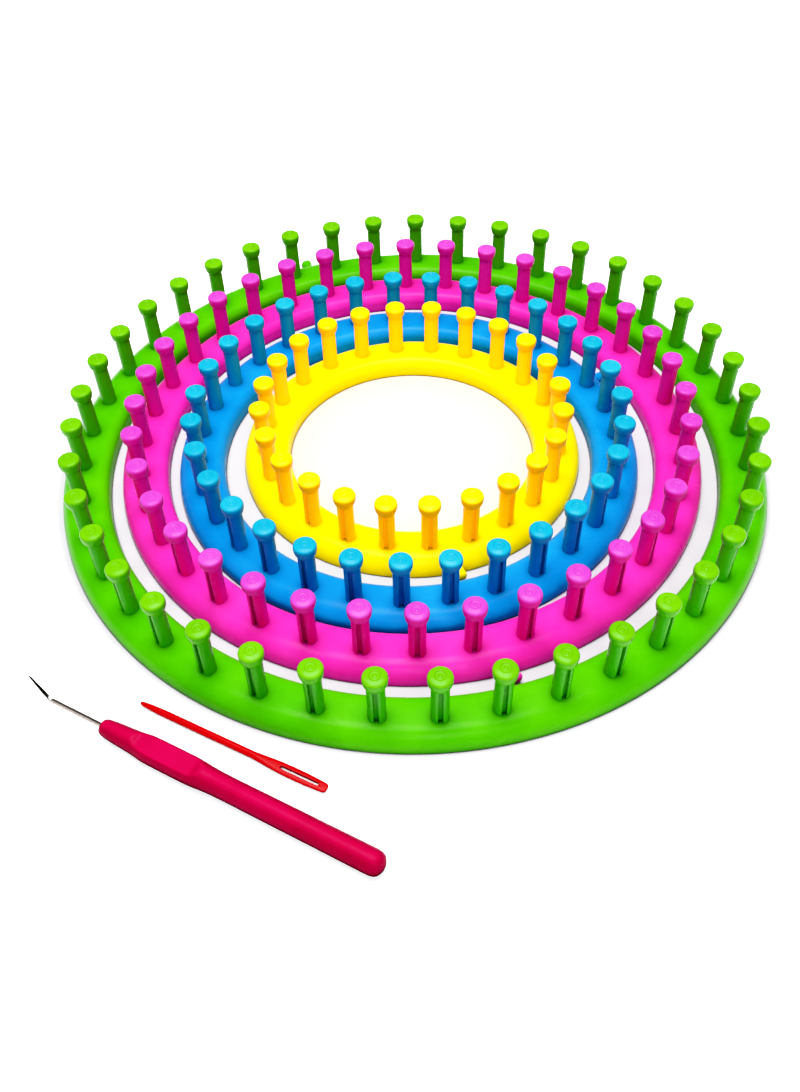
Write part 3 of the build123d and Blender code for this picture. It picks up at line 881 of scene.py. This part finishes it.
def make_needle():
    NL = math.hypot(NEEDLE_END[0] - NEEDLE_TIP[0], NEEDLE_END[1] - NEEDLE_TIP[1])
    width = [(0.0, 0.2), (0.05, 0.38), (0.25, 0.58), (1.0, 0.76), (3.5, 1.0), (7, 1.18), (12, 1.27), (30, 1.28), (45, 1.28),
             (49, 1.52), (53, 1.84), (56.5, 2.06), (61, 2.16), (65, 2.13), (70, 1.92), (NL - 1.2, 1.74),
             (NL - 0.6, 1.62), (NL - 0.25, 1.42), (NL - 0.05, 1.1), (NL, 0.8)]
    thick = [(0.0, 0.2), (0.05, 0.36), (0.25, 0.54), (1.0, 0.7), (3.5, 0.92), (7, 1.1), (12, 1.19), (30, 1.2), (45, 1.16),
             (52, 0.82), (58, 0.64), (NL - 2, 0.62), (NL - 0.6, 0.58), (NL - 0.25, 0.5), (NL - 0.05, 0.36), (NL, 0.25)]
    ss = [0, 0.05, 0.12, 0.25, 0.4, 0.7, 1.2] + [2 + 1.1 * i for i in range(int((NL - 4.0) / 1.1))]
    ss += [NL - 1.2, NL - 0.8, NL - 0.5, NL - 0.25, NL - 0.12, NL - 0.05, NL]
    n = 40
    vs = []
    for s in ss:
        w, t = interp(width, s), interp(thick, s)
        sq = max(0.0, min(1.0, (s - 46.0) / 8.0))      # from round to rounded-flat
        ex = 1.0 - 0.42 * sq
        for i in range(n):
            a = 2 * math.pi * (i + 0.5) / n
            c, q = math.cos(a), math.sin(a)
            y = w * math.copysign(abs(c) ** ex, c)
            z = t * math.copysign(abs(q) ** ex, q)
            vs.append((s, y, z))
    fs = grid_faces(n, len(ss))
    vs.append((0, 0, 0))
    vs.append((NL, 0, 0))
    o = (len(ss) - 1) * n
    for i in range(n):
        j = (i + 1) % n
        fs.append((len(vs) - 2, j, i))
        fs.append((len(vs) - 1, o + i, o + j))
    mat = frame_on_line(NEEDLE_TIP, NEEDLE_END, 1.22)
    body = new_object("plastic_yarn_needle", to_world(mat, vs), fs, 40.0)
    # eye: a long slot with round ends
    cut = []
    x0, x1, hw = NL - 17.6, NL - 3.0, 0.56
    m = 12
    outline = [(x1 - hw + hw * math.cos(a), hw * math.sin(a)) for a in [-math.pi / 2 + math.pi * i / m for i in range(m + 1)]]
    outline += [(x0 + hw + hw * math.cos(a), hw * math.sin(a)) for a in [math.pi / 2 + math.pi * i / m for i in range(m + 1)]]
    k = len(outline)
    for z in (-3.0, 3.0):
        cut += [(x, y, z) for (x, y) in outline]
    cf = [tuple(range(k))[::-1], tuple(range(k, 2 * k))] + [(i, (i + 1) % k, k + (i + 1) % k, k + i) for i in range(k)]
    cutter = new_object("cutter", to_world(mat, cut), cf)
    boolean(body, cutter, "DIFFERENCE")
    b = body.modifiers.new("bevel", "BEVEL")
    b.limit_method = "ANGLE"
    b.angle_limit = math.radians(50)
    b.width = 0.00016
    b.segments = 3
    applied(body)
    shade(body, 40)
    return body


needle = make_needle()
needle.data.materials.append(MATS["red"])
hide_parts("yarn_needle")
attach(needle, "needle")


# ------------------------------------------------------------- floor, light
def floor_material():
    mat = bpy.data.materials.new("pale_floor")
    mat.use_nodes = True
    bs = mat.node_tree.nodes["Principled BSDF"]
    nt = mat.node_tree
    tc = nt.nodes.new("ShaderNodeTexCoord")
    ln = nt.nodes.new("ShaderNodeVectorMath")
    ln.operation = "LENGTH"
    nt.links.new(tc.outputs["Object"], ln.inputs[0])
    # painted shade and painted bounce light: inside the set the floor is darker, warm just inside the yellow ring and
    # lavender-grey between the rings; white beyond them
    mr = nt.nodes.new("ShaderNodeMapRange")
    mr.inputs["From Min"].default_value = 0.0
    mr.inputs["From Max"].default_value = 0.20
    nt.links.new(ln.outputs["Value"], mr.inputs["Value"])
    cr = nt.nodes.new("ShaderNodeValToRGB")
    painted_bounce_tints = ((0.0, (0.62, 0.62, 0.62)), (0.030, (0.60, 0.60, 0.59)), (0.049, (0.60, 0.55, 0.46)), (0.056, (0.50, 0.48, 0.46)),
             (0.072, (0.50, 0.485, 0.52)), (0.147, (0.51, 0.49, 0.53)), (0.151, (0.95, 0.95, 0.95)))
    el = cr.color_ramp.elements
    el[0].position, el[0].color = 0.0, (*painted_bounce_tints[0][1], 1)
    el[1].position, el[1].color = painted_bounce_tints[-1][0] / 0.20, (*painted_bounce_tints[-1][1], 1)
    for (d, c) in painted_bounce_tints[1:-1]:
        el.new(d / 0.20).color = (*c, 1)
    nt.links.new(mr.outputs["Result"], cr.inputs["Fac"])
    # painted contact shadow: a thin dark line where something stands on it
    ao = nt.nodes.new("ShaderNodeAmbientOcclusion")
    ao.samples = 8
    ao.inputs["Distance"].default_value = 0.9 * MM
    ar = nt.nodes.new("ShaderNodeMapRange")
    ar.inputs["From Min"].default_value = 0.45
    ar.inputs["From Max"].default_value = 0.80
    ar.inputs["To Min"].default_value = 0.12
    ar.inputs["To Max"].default_value = 1.0
    nt.links.new(ao.outputs["AO"], ar.inputs["Value"])
    fade = nt.nodes.new("ShaderNodeMapRange")
    fade.inputs["From Min"].default_value = 0.150
    fade.inputs["From Max"].default_value = 0.1535
    nt.links.new(ln.outputs["Value"], fade.inputs["Value"])
    line = nt.nodes.new("ShaderNodeMath")
    line.operation = "MAXIMUM"
    nt.links.new(ar.outputs["Result"], line.inputs[0])
    nt.links.new(fade.outputs["Result"], line.inputs[1])
    am = nt.nodes.new("ShaderNodeMix")
    am.data_type = "RGBA"
    am.blend_type = "MULTIPLY"
    am.inputs["Factor"].default_value = 1.0
    nt.links.new(cr.outputs["Color"], am.inputs["A"])
    nt.links.new(line.outputs["Value"], am.inputs["B"])
    nt.links.new(am.outputs["Result"], bs.inputs["Base Color"])
    # overlit sweep beyond the set
    er = nt.nodes.new("ShaderNodeMapRange")
    er.inputs["From Min"].default_value = 0.148
    er.inputs["From Max"].default_value = 0.168
    er.inputs["To Min"].default_value = 0.0
    er.inputs["To Max"].default_value = 0.42
    nt.links.new(ln.outputs["Value"], er.inputs["Value"])
    em = nt.nodes.new("ShaderNodeMath")
    em.operation = "MULTIPLY"
    nt.links.new(er.outputs["Result"], em.inputs[0])
    nt.links.new(line.outputs["Value"], em.inputs[1])
    bs.inputs["Emission Color"].default_value = (0.97, 0.96, 1.0, 1)
    nt.links.new(em.outputs["Value"], bs.inputs["Emission Strength"])
    bs.inputs["Roughness"].default_value = 0.75
    bs.inputs["Specular IOR Level"].default_value = 0.1
    return mat


bm = bmesh.new()
bmesh.ops.create_grid(bm, x_segments=1, y_segments=1, size=4.0)
fme = bpy.data.meshes.new("floor")
bm.to_mesh(fme)
bm.free()
floor = bpy.data.objects.new("floor", fme)
scene.collection.objects.link(floor)
floor.data.materials.append(floor_material())

world = bpy.data.worlds.new("studio")
scene.world = world
world.use_nodes = True
bg = world.node_tree.nodes["Background"]
bg.inputs[0].default_value = (1.0, 1.0, 1.0, 1)
bg.inputs[1].default_value = 0.22


def area(name, loc, target, size, power, colour=(1, 1, 1)):
    ld = bpy.data.lights.new(name, "AREA")
    ld.shape = "RECTANGLE"
    ld.size, ld.size_y = size
    ld.energy = power
    ld.color = colour
    ob = bpy.data.objects.new(name, ld)
    scene.collection.objects.link(ob)
    ob.location = loc
    ob.rotation_euler = (Vector(target) - Vector(loc)).to_track_quat("-Z", "Y").to_euler()
    return ob


area("top_softbox", (-0.04, 0.0, 0.85), (0, 0, 0), (0.55, 0.55), 12.0)
area("front_fill", (0.15, -1.0, 0.95), (0, 0, 0), (0.5, 0.4), 5.0)
area("front_spark", (0.05, -0.95, 0.55), (0, 0, 0), (0.05, 0.05), 0.8)

scene.view_settings.view_transform = "Standard"
scene.view_settings.look = "None"
scene.view_settings.exposure = 0.0
scene.view_settings.use_curve_mapping = True
tone = scene.view_settings.curve_mapping
tc_curve = tone.curves[3]
for (x, y) in ((0.0070, 0.0006), (0.0130, 0.0024), (0.0262, 0.0116), (0.0452, 0.0296), (0.0705, 0.0578), (0.1144, 0.1195),
               (0.1559, 0.1900), (0.279, 0.327), (0.376, 0.460), (0.485, 0.600), (0.610, 0.735), (0.753, 0.860)):
    tc_curve.points.new(x, y)
tone.update()
